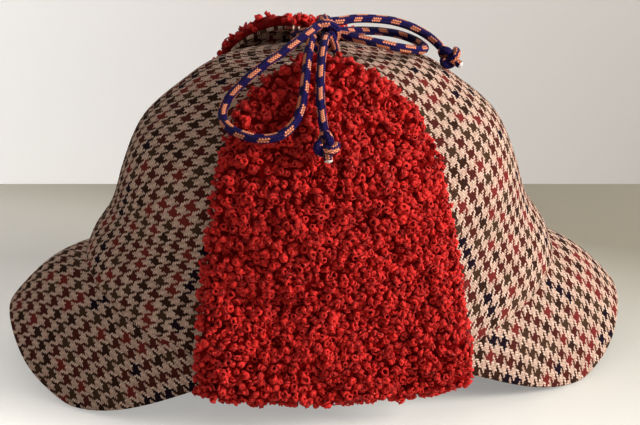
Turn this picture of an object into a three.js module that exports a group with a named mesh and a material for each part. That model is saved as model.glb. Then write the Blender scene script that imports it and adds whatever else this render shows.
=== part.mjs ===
// A deerstalker hat standing on a table on the side edges of its two peaks. The front peak points
// along -X, and the near ear flap is on the -Y side. Both ear flaps are folded up over the crown, with
// their curly pile outwards, and their cords are tied in a bow on top.
// Sizes are in millimetres and +Z is up. The table is z = 0.
import * as THREE from "three";

// Crown
const crownHalfLength = 104;
const crownHalfWidth = 82.8;
const crownTop = 144.8;
const rimEndHeight = 49.2;
const rimSideHeight = 13.5;
const crownWall = 2.4;
const panelCount = 6;
const panelColumns = 6;
const panelRows = 14;
const topHoleRadius = 2.5;
const seamGap = 0.3;

// Peaks
const frontPeakReach = 40.8;
const backPeakReach = 38.1;
const frontTipHeight = 29.8;
const backTipHeight = 25.5;
const peakCornerHeight = 15.9;
const peakCornerAngle = 63.5;
const peakThickness = 3.6;
const peakBulge = 5;
const peakRoundness = 1.35;
const peakColumns = 26;
const restSink = 2.4;

// Ear flaps
const flapHalfWidth = 51.6;
const flapForward = 2.4;
const flapFoldHeight = 14.6;
const flapTipRise = 0.963;
const flapCloth = 1.6;
const flapSeat = 0.8;
const flapColumns = 14;
const flapRows = 20;
const farFlapStandOff = 5;
const farFlapLean = 9;
const pileDepth = 7.8;
const pileEdgeDepth = 2.4;
const pileEdge = 7;
const pileOverhang = 1.6;
const tuftDepth = 1;

// Cords of the ear flaps
const tieDiameter = 3.8;
const tieSides = 8;
const tieStep = 8.7;
const bowKnotLength = 15.5;
const bowKnotDiameter = 14.6;
const bowKnotTurns = 3;
const endKnotLength = 10.6;
const endKnotDiameter = 9.2;
const endKnotTurns = 2;
const knotSides = 12;

// The peaks' tips lie as far to the front of the origin as to the back.
const crownCentreX = (frontPeakReach - backPeakReach) / 2;

// The crown's half section: reach is a share of its half length or half width, and rise is the share
// of the way from the rim to the top.
const crownSection = [
  { rise: 0, reach: 1 },
  { rise: 0.1, reach: 0.985 },
  { rise: 0.25, reach: 0.918 },
  { rise: 0.45, reach: 0.86 },
  { rise: 0.65, reach: 0.777 },
  { rise: 0.82, reach: 0.604 },
  { rise: 0.94, reach: 0.415 },
  { rise: 1, reach: 0 },
];

// The rim climbs from the sides to the two ends: endwards is the share of the half length at which a
// point lies, and climb is the share of the way from the side's height to the end's. Its first row
// mirrors the third, so that the rim runs level at the sides.
const rimClimb = [
  { endwards: -0.5, climb: 0.3 },
  { endwards: 0, climb: 0 },
  { endwards: 0.5, climb: 0.3 },
  { endwards: 0.75, climb: 0.59 },
  { endwards: 1, climb: 1 },
];

// A peak's edge from its tip to its corner: across is the share of the corner's angle, and height is a
// share of the tip's height above where the peak rests. Its first row mirrors the third, so that the
// edge is level at the tip.
const peakEdgeDrop = [
  { across: -0.12, height: 0.86 },
  { across: 0, height: 1 },
  { across: 0.12, height: 0.86 },
  { across: 0.24, height: 0.52 },
  { across: 0.35, height: 0.16 },
  { across: 0.46, height: 0 },
];

// A peak's section: out is the share of the way from the seam to the edge, and thick is the share of the
// full thickness there.
const peakSection = [
  { out: 0.16, thick: 1 },
  { out: 0.4, thick: 1 },
  { out: 0.65, thick: 1 },
  { out: 0.85, thick: 1 },
  { out: 0.94, thick: 1 },
  { out: 0.98, thick: 0.7 },
];

// A flap's half width, as a share of the widest, at each share of its way up from the fold to its tip.
const flapTaper = [
  { up: 0, width: 1 },
  { up: 0.3, width: 0.97 },
  { up: 0.5, width: 0.91 },
  { up: 0.7, width: 0.82 },
  { up: 0.8, width: 0.735 },
  { up: 0.88, width: 0.61 },
  { up: 0.94, width: 0.46 },
  { up: 0.975, width: 0.31 },
  { up: 1, width: 0.14 },
];

// How far an ear flap is lifted off the crown, as a share of its full lift. At its lower corners it
// stands over the corners of the peaks: sideways is a share of its half width, and rise a share of the
// crown's height.
const cornerLiftSideways = [
  { sideways: 0.4, lift: 0 },
  { sideways: 0.65, lift: 0.5 },
  { sideways: 0.9, lift: 1 },
];
const cornerLiftUpwards = [
  { rise: 0.08, lift: 1 },
  { rise: 0.25, lift: 0.5 },
  { rise: 0.42, lift: 0 },
];

// The far flap stands off the crown towards its tip and its front edge.
const tipLiftUpwards = [
  { up: 0.5, lift: 0 },
  { up: 0.68, lift: 0.5 },
  { up: 0.85, lift: 1 },
];
const tipLiftForwards = [
  { forwards: -0.2, lift: 0 },
  { forwards: 0.3, lift: 0.5 },
  { forwards: 0.8, lift: 1 },
];

// One turn of a knot: along is the share of the turn's width, and bulk the share of its full radius.
const knotTurn = [
  { along: 0.12, bulk: 0.84 },
  { along: 0.5, bulk: 1 },
  { along: 0.88, bulk: 0.84 },
];
const outerTurnBulk = 0.85;

// The routes of the two cords. The lead comes out of the flap's tip and goes into the bow's knot, the
// loop leaves that knot and comes back to it, and the end hangs out of it to a knot of its own.
const tieRoutes = {
  near_tie_lead: [
    [0.3, -22.6, 142.9],
    [0.8, -18.8, 144.5],
    [1.1, -14.9, 147.1],
  ],
  near_tie_loop: [
    [0.5, -16.4, 156.6],
    [-3.8, -24.5, 156.8],
    [-9.8, -32.5, 154.8],
    [-17.2, -37.6, 150.8],
    [-24.4, -40.6, 146.8],
    [-31.5, -42.5, 142],
    [-38, -43.8, 136.4],
    [-42.4, -45.6, 131],
    [-43.6, -48.8, 126.8],
    [-41.8, -54.2, 124.3],
    [-37, -60, 122.8],
    [-29.4, -64.2, 121.8],
    [-22, -65.4, 123],
    [-16.4, -63.2, 126.5],
    [-13, -59.2, 131],
    [-11.2, -55, 136.4],
    [-9.8, -49.8, 142.6],
    [-8.4, -43, 148],
    [-6.6, -35.5, 152.6],
    [-4.8, -26.5, 153.2],
    [-3.4, -17.1, 150.4],
  ],
  near_tie_end: [
    [1.9, -17.1, 151.6],
    [1.2, -25, 153],
    [-0.6, -33.2, 153],
    [-2.7, -43, 148.2],
    [-4, -50.9, 142],
    [-4.6, -57.2, 135],
    [-4.3, -63.2, 128.2],
    [-3.9, -68, 123.9],
  ],
  far_tie_lead: [
    [-9.4, 22.6, 143.6],
    [-6, 15.2, 146.4],
    [-2.2, 7, 148.8],
    [1.1, -1.5, 150.4],
  ],
  far_tie_loop: [
    [9.8, -12.9, 151.2],
    [16, -15.8, 150.2],
    [24, -17.8, 148.6],
    [32, -17.7, 146.6],
    [39.5, -14.6, 144.6],
    [44.8, -9.4, 143],
    [47.4, -3.2, 142.4],
    [46.8, 3.2, 142.7],
    [43.6, 8, 144],
    [37.4, 10.6, 145.8],
    [30, 10.4, 147.2],
    [22.5, 7.4, 148.4],
    [16, 2.2, 149.6],
    [9.9, -3.9, 150.9],
  ],
  far_tie_end: [
    [9.8, -6.9, 156.2],
    [16.5, -2.4, 156],
    [25.5, 1.8, 154.8],
    [34.5, 4.6, 153],
    [42, 5.4, 150.4],
    [48.6, 4.4, 147.1],
    [53, 1.4, 144],
    [55.4, -2, 141.7],
  ],
};
const bowKnotCentre = [1.4, -9.2, 152.2];
const bowKnotAxis = [1, 0, 0];
const nearEndKnotCentre = [-3.6, -70.8, 120.6];
const nearEndKnotAxis = [1, 0.2, -0.1];
const farEndKnotCentre = [57.6, -6.8, 139.3];
const farEndKnotAxis = [0.8, -0.3, 0.2];

const tweed = new THREE.MeshStandardMaterial({ color: 0x7d5f4e, roughness: 0.95, metalness: 0 });
const pile = new THREE.MeshStandardMaterial({ color: 0x9a1713, roughness: 1, metalness: 0 });
const braid = new THREE.MeshStandardMaterial({ color: 0x23204f, roughness: 0.8, metalness: 0 });

const degrees = THREE.MathUtils.degToRad;
const mix = THREE.MathUtils.lerp;

// A function that runs through a table's rows without overshooting between them.
function throughTable(rows, from, to) {
  const x = rows.map((row) => row[from]);
  const y = rows.map((row) => row[to]);
  const slope = x.slice(1).map((value, i) => (y[i + 1] - y[i]) / (value - x[i]));
  const tangent = x.map((_, i) => {
    if (i === 0) return slope[0];
    if (i === slope.length) return slope[i - 1];
    const [a, b] = [slope[i - 1], slope[i]];
    return a * b <= 0 ? 0 : (2 * a * b) / (a + b);
  });
  return (value) => {
    if (value <= x[0]) return y[0];
    if (value >= x.at(-1)) return y.at(-1);
    const i = x.findIndex((end) => end > value) - 1;
    const width = x[i + 1] - x[i];
    const t = (value - x[i]) / width;
    const back = 1 - t;
    const start = y[i] * (1 + 2 * t) * back * back + tangent[i] * width * t * back * back;
    return start + y[i + 1] * (3 - 2 * t) * t * t - tangent[i + 1] * width * back * t * t;
  };
}

const reachAt = throughTable(crownSection, "rise", "reach");
const climbAt = throughTable(rimClimb, "endwards", "climb");
const widthAt = throughTable(flapTaper, "up", "width");
const sidewaysLiftAt = throughTable(cornerLiftSideways, "sideways", "lift");
const upwardsLiftAt = throughTable(cornerLiftUpwards, "rise", "lift");
const tipLiftAt = throughTable(tipLiftUpwards, "up", "lift");
const forwardsLiftAt = throughTable(tipLiftForwards, "forwards", "lift");

function rimHeight(angle) {
  return mix(rimSideHeight, rimEndHeight, climbAt(Math.abs(Math.cos(angle))));
}

// A point of the crown's outer face. A rise under 0 carries the face straight on below the rim.
function crownPoint(angle, rise) {
  const reach = reachAt(rise);
  return new THREE.Vector3(
    crownCentreX + crownHalfLength * reach * Math.cos(angle),
    crownHalfWidth * reach * Math.sin(angle),
    mix(rimHeight(angle), crownTop, rise),
  );
}

// The point that lies the given distance outside the crown's outer face, or inside it if negative.
function offCrown(angle, rise, distance) {
  const step = 1e-3;
  const point = crownPoint(angle, rise);
  const around = crownPoint(angle + step, rise).sub(crownPoint(angle - step, rise));
  const up = crownPoint(angle, Math.min(rise + step, 1)).sub(crownPoint(angle, rise - step));
  return point.addScaledVector(around.cross(up).normalize(), distance);
}

// A closed solid through a row of closed outlines with the same number of points. The first half of an
// outline runs along one face and the second half comes back along the other, so the ends are closed by
// rungs between the two, and both faces are split along the same diagonals.
function solidThrough(outlines) {
  const size = outlines[0].length;
  const faces = [];
  const addQuad = (a, b, c, d) => faces.push(a, b, c, a, c, d);
  for (let row = 0; row + 1 < outlines.length; row++) {
    for (let i = 0; i < size; i++) {
      const [a, b] = [row * size + i, row * size + ((i + 1) % size)];
      if (i < size / 2) addQuad(a, b, b + size, a + size);
      else addQuad(b, b + size, a + size, a);
    }
  }
  const last = size * (outlines.length - 1);
  for (let i = 0; i < size - 2 - i; i++) {
    const rung = [i, i + 1, size - 2 - i, size - 1 - i];
    if (rung[1] === rung[2]) rung.splice(2, 1);
    const far = rung.map((place) => last + place);
    if (rung.length === 4) {
      addQuad(...rung.toReversed());
      addQuad(...far);
    } else {
      faces.push(...rung.toReversed(), ...far);
    }
  }
  return new THREE.BufferGeometry().setFromPoints(outlines.flat()).setIndex(faces);
}

function named(name, geometry, material) {
  const mesh = new THREE.Mesh(geometry, material);
  mesh.name = name;
  return mesh;
}

const shares = (count) => Array.from({ length: count + 1 }, (_, i) => i / count);

// One panel of the crown, between two seams that run from the rim to the top. It keeps half the gap
// on its side of each seam.
function crownPanel(number) {
  const sweep = degrees(360 / panelCount);
  const wideSection = crownSection.toReversed().map(({ rise, reach }) => ({ rise, width: reach * crownHalfWidth }));
  const topRise = throughTable(wideSection, "width", "rise")(topHoleRadius);
  const outlines = shares(panelRows).map((row) => {
    const rise = topRise * Math.sin(row * degrees(90));
    const place = (column, distance) => {
      const angle = sweep * (number - 1 + column);
      const sideways = new THREE.Vector3(
        -crownHalfWidth * Math.sin(angle),
        crownHalfLength * Math.cos(angle),
        0,
      ).normalize();
      return offCrown(angle, rise, distance).addScaledVector(sideways, seamGap * (0.5 - column));
    };
    const outer = shares(panelColumns).map((column) => place(column, 0));
    const inner = shares(panelColumns).map((column) => place(column, -crownWall));
    return [...outer, ...inner.reverse()];
  });
  return named(`crown_panel_${number}`, solidThrough(outlines), tweed);
}

// A peak sewn round one end of the rim. It is widest at the tip, and narrows to its two corners, which
// hang against the crown's sides. Its edge is flattened where it rests on the table.
function peak(name, end, reach, tipHeight) {
  const corner = degrees(peakCornerAngle);
  const cornerReach = seamGap + peakThickness / 2;
  const edgeRows = peakEdgeDrop.map(({ across, height }) => ({ across, z: mix(-restSink, tipHeight, height) }));
  const edgeHeight = throughTable([...edgeRows, { across: 1, z: peakCornerHeight }], "across", "z");

  const middle = (angle, out) => {
    const across = Math.abs(angle) / corner;
    const width = mix(cornerReach, reach, Math.cos(degrees(90) * Math.min(across, 1)) ** peakRoundness);
    const outwards = new THREE.Vector3(
      Math.cos(angle) / crownHalfLength,
      Math.sin(angle) / crownHalfWidth,
      0,
    ).normalize();
    const seam = crownPoint(angle, 0).addScaledVector(outwards, cornerReach);
    seam.z += peakThickness / 2;
    const edge = crownPoint(angle, 0).addScaledVector(outwards, width);
    edge.z = edgeHeight(across);
    const point = seam.lerp(edge, out);
    point.z += (peakBulge * Math.sin(Math.PI * out) * width) / reach;
    return point;
  };
  const face = (angle, out, offset) => {
    const step = 1e-3;
    const along = middle(angle + step, out).sub(middle(angle - step, out));
    const outwards = middle(angle, out + step).sub(middle(angle, out - step));
    return middle(angle, out).addScaledVector(outwards.cross(along).normalize(), offset);
  };
  const atSeam = (angle, height) => {
    const point = crownPoint(angle, 0);
    const outwards = point.clone().setX(point.x - crownCentreX).setZ(0).normalize();
    return point.addScaledVector(outwards, seamGap).setZ(point.z + height);
  };
  const outlines = shares(peakColumns).map((share) => {
    const angle = mix(-corner, corner, share);
    const half = peakThickness / 2;
    const above = peakSection.map(({ out, thick }) => face(angle, out, half * thick));
    const below = peakSection.map(({ out, thick }) => face(angle, out, -half * thick));
    const outline = [
      atSeam(angle, peakThickness),
      ...above,
      middle(angle, 1),
      ...below.reverse(),
      atSeam(angle, 0),
    ];
    outline.forEach((point) => {
      point.z = Math.max(point.z, 0);
    });
    return outline;
  });
  if (end < 0) {
    outlines.forEach((outline) => {
      outline.forEach((point) => point.setX(2 * crownCentreX - point.x));
      outline.reverse();
    });
  }
  return named(name, solidThrough(outlines), tweed);
}

// A point of a folded-up ear flap: across runs from -1 at its front edge to 1 at its back edge, up from
// 0 at the fold to 1 at the tip, and away is the distance from the crown. The layer's edge may hang over
// the flap's own, and side is -1 for the near flap and 1 for the far one.
function flapPoint(side, across, up, away, overhang) {
  const lean = side > 0 ? farFlapLean * up * up : 0;
  const outwards = across * flapHalfWidth * widthAt(up);
  const pastEdge = Math.abs(across) === 1 ? across * overhang : 0;
  const x = outwards + pastEdge - flapForward - lean;
  const foldRim = rimHeight(Math.acos(x / crownHalfLength));
  const foldRise = (flapFoldHeight - foldRim) / (crownTop - foldRim);
  const rise = mix(foldRise, flapTipRise, up);
  const angle = Math.acos(x / (crownHalfLength * reachAt(rise)));
  const overPeak = sidewaysLiftAt(Math.abs(x) / flapHalfWidth) * upwardsLiftAt(rise);
  const cornerLift = overPeak * (peakThickness + flapSeat + flapCloth);
  const tipLift = side > 0 ? farFlapStandOff * tipLiftAt(up) * forwardsLiftAt(-across) : 0;
  const point = offCrown(angle, rise, away + cornerLift + tipLift);
  return point.setY(side * point.y);
}

// The outlines of a layer of a flap between two distances from the crown. The outer distance may vary
// over the layer, and changes from one tuft to the next.
function flapLayer(side, overhang, inner, outer) {
  return shares(flapRows).map((row, r) => {
    const up = Math.sin(row * degrees(90));
    const place = (column, away) => flapPoint(side, mix(-1, 1, column), up, away, overhang);
    const front = shares(flapColumns).map((column, c) => place(column, outer(column, row, r + c)));
    const back = shares(flapColumns).map((column) => place(column, inner));
    const outline = [...front, ...back.reverse()];
    return side < 0 ? outline : outline.reverse();
  });
}

function flapBacking(name, side) {
  const outlines = flapLayer(side, 0, flapSeat, () => flapSeat + flapCloth);
  return named(name, solidThrough(outlines), tweed);
}

// The pile thins to a rounded edge all round, and its tufts stand in staggered rows.
function flapPile(name, side) {
  const inner = flapSeat + flapCloth + seamGap;
  const edgeAcross = pileEdge / (2 * flapHalfWidth);
  const edgeUp = pileEdge / crownTop;
  const rounding = (share, edge) => {
    const inwards = Math.min(share, 1 - share) / edge;
    return inwards >= 1 ? 1 : Math.sqrt(1 - (1 - inwards) ** 2);
  };
  const outer = (column, row, tuft) => {
    const full = rounding(column, edgeAcross) * rounding(row, edgeUp);
    return inner + mix(pileEdgeDepth, pileDepth, full) + (tuft % 2 ? tuftDepth : -tuftDepth) * full;
  };
  const outlines = flapLayer(side, pileOverhang, inner, outer);
  return named(name, solidThrough(outlines), pile);
}

// A straight-ended tube along a cord's route.
function cordTube(name, route) {
  const curve = new THREE.CatmullRomCurve3(route.map((point) => new THREE.Vector3(...point)));
  const circle = new THREE.Shape().absarc(0, 0, tieDiameter / 2, 0, 2 * Math.PI);
  const section = new THREE.Shape(circle.getSpacedPoints(tieSides).slice(0, tieSides));
  const steps = Math.max(2, Math.round(curve.getLength() / tieStep));
  const geometry = new THREE.ExtrudeGeometry(section, { steps, bevelEnabled: false, extrudePath: curve });
  return named(name, geometry, braid);
}

// A knot of turns of cord that lie side by side along the knot's own axis.
function knot(name, centre, axis, length, diameter, turns) {
  const profile = [new THREE.Vector2(0, -length / 2)];
  for (let turn = 0; turn < turns; turn++) {
    const start = length * (turn / turns - 0.5);
    const offMiddle = Math.abs((2 * turn + 1) / turns - 1);
    const radius = (diameter / 2) * mix(1, outerTurnBulk, offMiddle);
    for (const { along, bulk } of knotTurn) {
      profile.push(new THREE.Vector2(radius * bulk, start + (along * length) / turns));
    }
  }
  profile.push(new THREE.Vector2(0, length / 2));
  const mesh = named(name, new THREE.LatheGeometry(profile, knotSides), braid);
  mesh.position.set(...centre);
  mesh.quaternion.setFromUnitVectors(new THREE.Vector3(0, 1, 0), new THREE.Vector3(...axis).normalize());
  return mesh;
}

const hat = new THREE.Group();

const crown = new THREE.Group();
for (let number = 1; number <= panelCount; number++) crown.add(crownPanel(number));
hat.add(crown);

hat.add(peak("front_peak", -1, frontPeakReach, frontTipHeight));
hat.add(peak("back_peak", 1, backPeakReach, backTipHeight));

hat.add(flapBacking("near_flap_cloth", -1));
hat.add(flapPile("near_flap_pile", -1));
hat.add(flapBacking("far_flap_cloth", 1));
hat.add(flapPile("far_flap_pile", 1));

for (const [name, route] of Object.entries(tieRoutes)) hat.add(cordTube(name, route));
const endKnot = [endKnotLength, endKnotDiameter, endKnotTurns];
hat.add(knot("bow_knot", bowKnotCentre, bowKnotAxis, bowKnotLength, bowKnotDiameter, bowKnotTurns));
hat.add(knot("near_end_knot", nearEndKnotCentre, nearEndKnotAxis, ...endKnot));
hat.add(knot("far_end_knot", farEndKnotCentre, farEndKnotAxis, ...endKnot));

export default hat;
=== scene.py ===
"""A deerstalker hat of houndstooth tweed, standing on a pale table on the side edges of its two peaks.

The ear flaps are folded up over the crown with their red curly pile outwards. A braided cord from the
tip of each flap is tied with the other in a bow on top. Lengths are in metres, +Z is up, the front peak
points along -X and the near ear flap is on the -Y side.
"""

from math import acos, atan2, ceil, copysign, cos, exp, hypot, pi, radians, sin, sqrt
from random import Random

import bmesh
import bpy
from mathutils import Matrix, Vector, noise


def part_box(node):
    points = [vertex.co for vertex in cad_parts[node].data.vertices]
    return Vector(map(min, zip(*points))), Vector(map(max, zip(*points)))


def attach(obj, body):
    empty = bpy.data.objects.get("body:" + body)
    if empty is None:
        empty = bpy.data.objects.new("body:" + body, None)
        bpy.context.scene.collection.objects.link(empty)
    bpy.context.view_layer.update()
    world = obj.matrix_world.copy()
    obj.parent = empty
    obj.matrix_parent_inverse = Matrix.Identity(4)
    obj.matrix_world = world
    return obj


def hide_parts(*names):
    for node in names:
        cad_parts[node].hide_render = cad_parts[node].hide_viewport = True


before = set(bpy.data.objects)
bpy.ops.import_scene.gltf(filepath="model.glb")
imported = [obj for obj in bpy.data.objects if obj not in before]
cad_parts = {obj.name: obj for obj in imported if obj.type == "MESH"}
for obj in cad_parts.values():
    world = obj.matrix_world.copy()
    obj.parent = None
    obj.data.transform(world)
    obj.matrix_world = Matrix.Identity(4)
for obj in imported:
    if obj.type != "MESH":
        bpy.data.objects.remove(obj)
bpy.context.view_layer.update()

# The curls' ripple comes from the noise module, which draws anew in each run unless it is seeded.
noise.seed_set(5)

MM = 0.001
MERGE_DISTANCE = 0.01 * MM

# Crown
CROWN_PANELS = [f"crown_panel_{number}" for number in range(1, 7)]
crown_low = Vector(map(min, *(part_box(panel)[0] for panel in CROWN_PANELS)))
crown_high = Vector(map(max, *(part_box(panel)[1] for panel in CROWN_PANELS)))
CROWN_CENTRE_X = (crown_low.x + crown_high.x) / 2
CROWN_HALF_LENGTH = 104 * MM
CROWN_HALF_WIDTH = 82.8 * MM
CROWN_TOP = 144.8 * MM
RIM_END_HEIGHT = 49.2 * MM
RIM_SIDE_HEIGHT = 13.5 * MM
CROWN_WALL = 2.4 * MM
CROWN_MIDDLE = Vector((CROWN_CENTRE_X, 0, CROWN_TOP / 3))
RIM_FLARE = 5.2 * MM
RIM_FLARE_RISE = 0.36
SEAM_GROOVE_DEPTH = 0.6 * MM
SEAM_GROOVE_WIDTH = 1.2 * MM

# Peaks
FRONT_REACH = 40.5 * MM
BACK_REACH = 38.4 * MM
FRONT_TIP_HEIGHT = 25 * MM
BACK_TIP_HEIGHT = 23.4 * MM
FRONT_BULGE = 6.8 * MM
BACK_BULGE = 4.8 * MM
PEAK_CORNER_HEIGHT = 20.2 * MM
PEAK_CORNER_ANGLE = radians(63.5)
PEAK_THICKNESS = 3.6 * MM
PEAK_EDGE_THICKNESS = 2.2 * MM
PEAK_ROUNDNESS = 1.55
SEAM_GAP = 0.3 * MM

# Ear flaps
FLAP_HALF_WIDTH = 51.6 * MM
FLAP_FORWARD = 2.4 * MM
FLAP_FOLD_HEIGHT = 15 * MM
FLAP_CORNER_RISE = 4.6 * MM
FLAP_TIP_RISE = 0.963
FLAP_CLOTH = 1.6 * MM
FLAP_SEAT = 0.8 * MM
FAR_FLAP_STAND_OFF = 5.5 * MM
FAR_FLAP_LEAN = 3.5 * MM
FLAP_STEPS = 60

# Pile: wide swells, lumps and small tufts, rounded off towards the flap's edges.
PILE_SEAT = FLAP_SEAT + FLAP_CLOTH + SEAM_GAP
PILE_DEPTH = 7.8 * MM
PILE_EDGE = 6 * MM
SWELL_SIZE = 22 * MM
LUMP_SIZE = 8 * MM
TUFT_SIZE = 2.7 * MM
TUFT_HEIGHT = 1.1 * MM
MAT_SUNK = 1.2 * MM
CURL_PATTERNS = 60
CURL_RIPPLE = 1.9 * MM

# Cords
CORD_DIAMETER = 3.8 * MM
CORD_STEP = 0.6 * MM
CORD_SIDES = 18
KNOT_SIZE = 1.3 * MM

# Cloth and braid. A piece's turn is the share of the rim's own turning that its cut edge has.
PATTERN_REPEAT = 6.5 * MM
THREAD = PATTERN_REPEAT / 8
PEAK_CLOTH_TURN = 0.92
CROWN_CLOTH_TURN = 0.47
PICK = 1.12 * MM

# How far along the cloth pieces are cut, in metres, so that no two start on the same star.
PANEL_CUT_APART = 0.1
PEAK_CUT = 0.61
FLAP_CUT = 0.13

# Camera: the focal length is in pixels of a picture 640 wide.
PICTURE_WIDTH = 640
SENSOR_WIDTH = 36
FOCAL_PIXELS = 1200
CAMERA_AZIMUTH = radians(-5.81)
CAMERA_ELEVATION = radians(20.97)
CAMERA_DISTANCE = 558 * MM
CAMERA_TARGET = Vector((1.08, 0, 64.9)) * MM

# Stage and lights
STAGE_SIZE = 8
WALL_DISTANCE = 222 * MM
LIGHTS_AIM = Vector((0, 0, 0.07))

# Shares of the crown's height and of its reach, from the rim to the top.
CROWN_SECTION = [
    (0, 1), (0.1, 0.985), (0.25, 0.918), (0.45, 0.86),
    (0.65, 0.777), (0.82, 0.604), (0.94, 0.415), (1, 0),
]
# Where the crown's cloth lies on it: its length up from the rim in millimetres, and its share of the
# rim's width, both by the share of the crown's height.
CROWN_CLOTH_UP = [(0, 0), (0.2, 26), (0.41, 54), (0.65, 81), (0.82, 106.5), (0.94, 130), (1, 173)]
CROWN_CLOTH_WIDTH = [
    (0, 1.06), (0.2, 1.03), (0.35, 0.97), (0.5, 0.91),
    (0.65, 0.8), (0.82, 0.63), (0.94, 0.45), (1, 0.12),
]
# The angle of each panel's straight grain: the seam at the hat's end, or the middle of a side panel.
GRAIN_LINES = (0, pi / 2, pi, pi, 3 * pi / 2, 2 * pi)
# How far towards the ends a point of the rim lies, and how far it has climbed there.
RIM_CLIMB = [(-0.5, 0.3), (0, 0), (0.5, 0.3), (0.75, 0.59), (1, 1)]
# A peak's edge from its tip to where it rests on the table: the share of the corner's angle, and the
# share of the tip's height. The first row mirrors the third, which keeps the edge level at the tip.
PEAK_EDGE = [(-0.12, 0.82), (0, 1), (0.12, 0.82), (0.24, 0.44), (0.35, 0.185), (0.46, 0)]
# A flap's share of its half width, from the fold to the tip.
FLAP_TAPER = [
    (0, 1), (0.3, 0.97), (0.5, 0.91), (0.7, 0.82), (0.8, 0.735),
    (0.88, 0.61), (0.94, 0.46), (0.975, 0.31), (1, 0.14),
]
# Where a flap is lifted over the peaks' corners, and where the far flap stands off the crown.
CORNER_LIFT_SIDEWAYS = [(0.4, 0), (0.65, 0.5), (0.9, 1)]
CORNER_LIFT_UPWARDS = [(0.08, 1), (0.25, 0.5), (0.42, 0)]
TIP_LIFT_UPWARDS = [(0.5, 0), (0.68, 0.5), (0.85, 1)]
TIP_LIFT_FORWARDS = [(-1, 0.6), (-0.2, 0.75), (0.3, 0.9), (0.8, 1)]

# The two cords, in millimetres: from the flap's tip into the bow's knot, round the loop, back through
# the knot, and down to the end's own knot.
NEAR_TIE_ROUTE = [
    (0.3, -22.6, 142.9), (0.8, -18.8, 144.5), (1.1, -14.9, 147.1),
    (1.6, -10.4, 150.2), (1.6, -10.6, 154.4),
    (0.5, -16.4, 156.6), (-3.8, -24.5, 156.8), (-9.8, -32.5, 154.8), (-17.2, -37.6, 150.8),
    (-24.4, -40.6, 146.8), (-31.5, -42.5, 142), (-38, -43.8, 136.4), (-42.4, -45.6, 131),
    (-43.6, -48.8, 126.8), (-41.8, -54.2, 124.3), (-37, -60, 122.8), (-29.4, -64.2, 121.8),
    (-22, -65.4, 123), (-16.4, -63.2, 126.5), (-13, -59.2, 131), (-11.2, -55, 136.4),
    (-9.8, -49.8, 142.6), (-8.4, -43, 148), (-6.6, -35.5, 152.6), (-4.8, -26.5, 153.2),
    (-3.4, -17.1, 150.4),
    (-2, -12.2, 149.8), (0.6, -10, 150.4), (2.2, -12.4, 151.4),
    (1.9, -17.1, 151.6), (1.2, -25, 153), (-0.6, -33.2, 153), (-2.7, -43, 148.2),
    (-4, -50.9, 142), (-4.6, -57.2, 135), (-4.3, -63.2, 128.2), (-3.9, -68, 123.9),
]
FAR_TIE_ROUTE = [
    (-9.4, 22.6, 143.6), (-6, 15.2, 146.4), (-2.2, 7, 148.8), (1.1, -1.5, 150.4),
    (3, -8, 150.8),
    (9.8, -12.9, 151.2), (16, -15.8, 150.2), (24, -17.8, 148.6), (32, -17.7, 146.6),
    (39.5, -14.6, 144.6), (44.8, -9.4, 143), (47.4, -3.2, 142.4), (46.8, 3.2, 142.7),
    (43.6, 8, 144), (37.4, 10.6, 145.8), (30, 10.4, 147.2), (22.5, 7.4, 148.4),
    (16, 2.2, 149.6), (9.9, -3.9, 150.9),
    (4.6, -6.4, 151.8), (2, -8.6, 154.2), (4.4, -8.8, 156),
    (9.8, -6.9, 156.2), (16.5, -2.4, 156), (25.5, 1.8, 154.8), (34.5, 4.6, 153),
    (42, 5.4, 150.4), (48.6, 4.4, 147.1), (53, 1.4, 144), (55.4, -2, 141.7),
]


def mix(low, high, share):
    return low + (high - low) * share


def crowd(share, amount):
    """Moves the lines of a grid towards its two ends."""
    return share - amount * sin(2 * pi * share) / (2 * pi)


def through_table(rows):
    """A function that runs through a table's rows without overshooting between them."""
    places = [place for place, _ in rows]
    values = [value for _, value in rows]
    slopes = [(values[i + 1] - values[i]) / (places[i + 1] - places[i]) for i in range(len(rows) - 1)]
    tangents = [slopes[0]]
    for before, after in zip(slopes, slopes[1:]):
        tangents.append(0 if before * after <= 0 else 2 * before * after / (before + after))
    tangents.append(slopes[-1])

    def value_at(place):
        if place <= places[0]:
            return values[0]
        if place >= places[-1]:
            return values[-1]
        i = next(i for i, above in enumerate(places) if above > place) - 1
        width = places[i + 1] - places[i]
        share = (place - places[i]) / width
        back = 1 - share
        start = values[i] * (1 + 2 * share) * back * back + tangents[i] * width * share * back * back
        end = values[i + 1] * (3 - 2 * share) * share**2
        return start + end - tangents[i + 1] * width * back * share**2

    return value_at


reach_at = through_table(CROWN_SECTION)
climb_at = through_table(RIM_CLIMB)
cloth_up_at = through_table(CROWN_CLOTH_UP)
cloth_width_at = through_table(CROWN_CLOTH_WIDTH)
taper_at = through_table(FLAP_TAPER)
corner_sideways_at = through_table(CORNER_LIFT_SIDEWAYS)
corner_upwards_at = through_table(CORNER_LIFT_UPWARDS)
tip_upwards_at = through_table(TIP_LIFT_UPWARDS)
tip_forwards_at = through_table(TIP_LIFT_FORWARDS)


# -------------------------------- camera

def aim_camera():
    back = Vector((
        sin(CAMERA_AZIMUTH) * cos(CAMERA_ELEVATION),
        -cos(CAMERA_AZIMUTH) * cos(CAMERA_ELEVATION),
        sin(CAMERA_ELEVATION),
    ))
    lens = bpy.data.cameras.new("camera")
    lens.sensor_fit = "HORIZONTAL"
    lens.sensor_width = SENSOR_WIDTH
    lens.lens = SENSOR_WIDTH * FOCAL_PIXELS / PICTURE_WIDTH
    lens.clip_start = 0.01
    camera = bpy.data.objects.new("camera", lens)
    camera.location = CAMERA_TARGET + back * CAMERA_DISTANCE
    camera.rotation_mode = "QUATERNION"
    camera.rotation_quaternion = back.to_track_quat("Z", "Y")
    bpy.context.scene.collection.objects.link(camera)
    bpy.context.scene.camera = camera


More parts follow.
